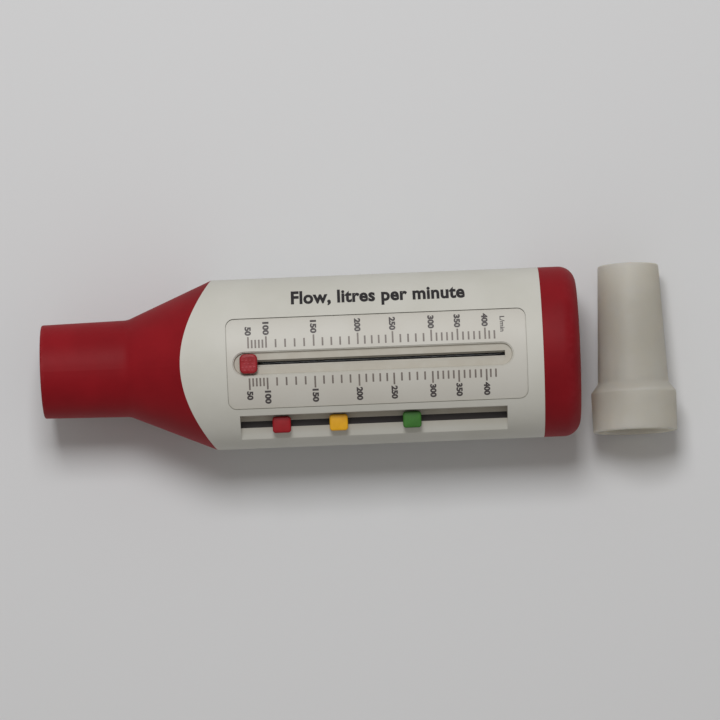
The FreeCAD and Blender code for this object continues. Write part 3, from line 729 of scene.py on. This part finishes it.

# %% [markdown]
# ## Return spring
# A light tension spring pulls the piston home. It is one round wire wound ten times round the rod. A
# small circle, screwed along the axis by a modifier, makes the coil, and its two ends are filled. The
# spring stretches as the piston moves.

# %% Wind the coil
TURNS, WIRE = 10, 0.2 * MM
spring_low, spring_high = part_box("return_spring")
coil_radius = spring_high.z - WIRE
pitch = (spring_high.x - spring_low.x - 2 * WIRE) / TURNS
bpy.ops.object.select_all(action="DESELECT")
bpy.ops.mesh.primitive_circle_add(
    vertices=10, radius=WIRE, fill_type="NOTHING", location=(coil_radius, 0, 0), rotation=(math.pi / 2, 0, 0)
)
coil = apply_place(new_object("spring_coil"))
winding = coil.modifiers.new("winding", "SCREW")
winding.axis = "Z"
winding.screw_offset = pitch
winding.iterations = TURNS
winding.steps = 40
winding.render_steps = 40
winding.use_merge_vertices = True
bpy.ops.object.modifier_apply(modifier=winding.name)
start_edit(coil)
bpy.ops.mesh.select_all(action="SELECT")
bpy.ops.mesh.fill_holes(sides=0)
end_edit(coil, 60)
coil.rotation_euler = (0, math.pi / 2, 0)
coil.location = (spring_low.x + WIRE, 0, 0)
apply_place(coil)
coil.data.materials.clear()
coil.data.materials.append(rod_steel)
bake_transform(coil)
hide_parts("return_spring")
print("Spring faces:", len(coil.data.polygons))

# %% [markdown]
# ## Printing ink
# The scale is printed, so each mark is a film of ink a few hundredths of a millimetre thick. The ink's
# tone is a little uneven, and its shine is the paper's. Marks are drawn flat, cut into narrow strips,
# and then each corner is lifted onto the oval surface below it.

# %% Ink and the oval it lies on
ink_black = plastic("ink_black", (34, 31, 33), (26, 24, 26), 0.45, 0.3, grain=0.03, cloud=500.0)
ink_dark_grey = plastic("ink_dark_grey", (76, 71, 71), (66, 61, 61), 0.45, 0.3, grain=0.03, cloud=500.0)
ink_grey = plastic("ink_grey", (122, 114, 108), (110, 103, 98), 0.45, 0.3, grain=0.03, cloud=500.0)
INK = 0.03 * MM
LABEL_OVAL = (24.5 * MM, 20.5 * MM)
STRIP = 0.4 * MM


def lay_on_oval(obj, oval):
    """Cuts a flat mark into strips and lifts every corner onto an oval barrel."""
    half_width, half_depth = oval
    across = [v.co.y for v in obj.data.vertices]
    start_edit(obj)
    line = math.ceil(min(across) / STRIP)
    while line * STRIP < max(across):
        bpy.ops.mesh.select_all(action="SELECT")
        bpy.ops.mesh.bisect(plane_co=(0, line * STRIP, 0), plane_no=(0, 1, 0))
        line += 1
    end_edit(obj)
    for vertex in obj.data.vertices:
        share = vertex.co.y / half_width
        vertex.co.z += half_depth * math.sqrt(1 - share * share)
    return obj


print("Ink film in mm:", INK / MM)

# %% [markdown]
# ## Scale marks
# The spaces between the numbers aren't equal, because the air slot gives more way as the piston
# travels. Their places are measured along the meter. Four short marks stand between each pair of long
# ones, and two follow the last. One mark of each length is modelled, and the rest are copies.

# %% Draw the marks
ZERO = 61.1 * MM
# each long mark's number and its place in mm beyond ZERO
LONG = [(50, 0.0), (100, 5.2), (150, 19.0), (200, 31.8), (250, 41.9), (300, 53.1), (350, 60.7), (400, 68.7)]
LAST_SHORT = [69.9, 71.4]
MARK_WIDTH = 0.5 * MM
# side, then in mm: start of the marks, end of the long ones, end of the short ones, start of the numbers
SIDES = [(1, 4.5, 7.8, 6.9, 8.15), (-1, 4.2, 7.6, 6.6, 7.95)]


def ink_bar(name, y_low, y_high, width):
    """A thin flat bar of ink across the meter."""
    bpy.ops.object.select_all(action="DESELECT")
    bpy.ops.mesh.primitive_cube_add(
        size=1, location=(0, (y_low + y_high) / 2, 0), scale=(width, y_high - y_low, 2 * INK)
    )
    bar = apply_place(new_object(name))
    start_edit(bar)
    pick_edges(bar, lambda e: abs(e.verts[0].co.z - e.verts[1].co.z) > INK)
    bpy.ops.mesh.bevel(offset=0.06 * MM, segments=2, affect="EDGES")
    end_edit(bar)
    return bar


long_places = [place for _, place in LONG]
short_places = list(LAST_SHORT)
for place, following in zip(long_places, long_places[1:]):
    short_places += [place + (following - place) * step / 5 for step in (1, 2, 3, 4)]
marks = []
for side, start, long_end, short_end, _ in SIDES:
    long_mark = ink_bar("long_mark", *sorted((side * start * MM, side * long_end * MM)), MARK_WIDTH)
    short_mark = ink_bar("short_mark", *sorted((side * start * MM, side * short_end * MM)), MARK_WIDTH)
    for pattern, places in ((long_mark, long_places), (short_mark, short_places)):
        marks += [copy_at(pattern, Vector((ZERO + place * MM, 0, 0))) for place in places]
        bpy.data.objects.remove(pattern)
scale_marks = lay_on_oval(join("scale_marks", marks), LABEL_OVAL)
finish_piece(scale_marks, "meter_case", ink_grey, "printed_scale")

# %% [markdown]
# ## Numbers and unit
# The numbers stand on both sides of the trough, turned a quarter so that they read from the top edge
# down. A text object is converted to a mesh first, and only then turned, squeezed to its space and laid
# on the oval.

# %% Set the lettering


def lettering(name, words, middle_point, length, height, turned, oval, bold, spacing=1.0):
    """Flat words of a given length and height, laid on an oval."""
    bpy.ops.object.select_all(action="DESELECT")
    bpy.ops.object.text_add()
    text = bpy.context.object
    text.name = name
    text.data.body = words
    text.data.size = height
    text.data.offset = bold
    text.data.space_character = spacing
    text.data.extrude = INK
    text.data.resolution_u = 4
    hold(text)
    bpy.ops.object.convert(target="MESH")
    corners = [Vector(c) for c in text.bound_box]
    start, end = corners[0], corners[6]
    text.data.transform(Matrix.Translation(-(start + end) / 2))
    size = end - start
    text.data.transform(Matrix.Diagonal((length / size.x, height / size.y, 1, 1)))
    if turned:
        text.data.transform(Matrix.Rotation(-math.pi / 2, 4, "Z"))
    text.data.transform(Matrix.Translation((middle_point[0], middle_point[1], 0)))
    return lay_on_oval(text, oval)


DIGIT, NUMBER_HEIGHT, NUMBER_BOLD = 1.28 * MM, 1.85 * MM, 0.1 * MM
numbers = []
for number, place in LONG:
    words = str(number)
    for side, *_, inner in SIDES:
        length = len(words) * DIGIT
        point = (ZERO + place * MM, side * (inner * MM + length / 2))
        numbers.append(lettering(
            "number", words, point, length, NUMBER_HEIGHT, True, LABEL_OVAL, NUMBER_BOLD
        ))
scale_numbers = join("scale_numbers", numbers)
finish_piece(scale_numbers, "meter_case", ink_dark_grey, "printed_scale")
UNIT_MIDDLE, UNIT_LENGTH, UNIT_HEIGHT, UNIT_BOLD = (134.9 * MM, 8.7 * MM), 4.5 * MM, 1.4 * MM, 0.03 * MM
unit = lettering("scale_unit", "L/min", UNIT_MIDDLE, UNIT_LENGTH, UNIT_HEIGHT, True, LABEL_OVAL, UNIT_BOLD)
finish_piece(unit, "meter_case", ink_dark_grey, "printed_scale")

# %% [markdown]
# ## Heading
# A line of bold black print runs above the scale, on the barrel itself. It says only what the numbers
# count.

# %% Heading on the barrel
HEADING_MIDDLE, HEADING_LENGTH, HEADING_HEIGHT = (99.2 * MM, 18.1 * MM), 50.6 * MM, 5.0 * MM
HEADING_BOLD, HEADING_SPACING = 0.18 * MM, 1.04
heading = lettering(
    "scale_heading", "Flow, litres per minute", HEADING_MIDDLE, HEADING_LENGTH, HEADING_HEIGHT, False,
    BARREL_OVAL, HEADING_BOLD, HEADING_SPACING
)
finish_piece(heading, "meter_case", ink_black, "printed_scale")

# %% [markdown]
# ## The ground
# A plain pale sheet lies under the meter. It isn't part of it.

# %% Floor
FLOOR_SIZE = 6
floor_material = bpy.data.materials.new("floor")
floor_material.use_nodes = True
floor_shader = floor_material.node_tree.nodes["Principled BSDF"]
floor_shader.inputs["Base Color"].default_value = screen(214, 215, 217)
floor_shader.inputs["Roughness"].default_value = 0.9
bpy.ops.object.select_all(action="DESELECT")
bpy.ops.mesh.primitive_plane_add(size=FLOOR_SIZE, location=(middle.x, middle.y, low.z))
floor = new_object("floor")
floor.data.materials.append(floor_material)
apply_place(floor)
print("Floor at z =", round(low.z, 4))
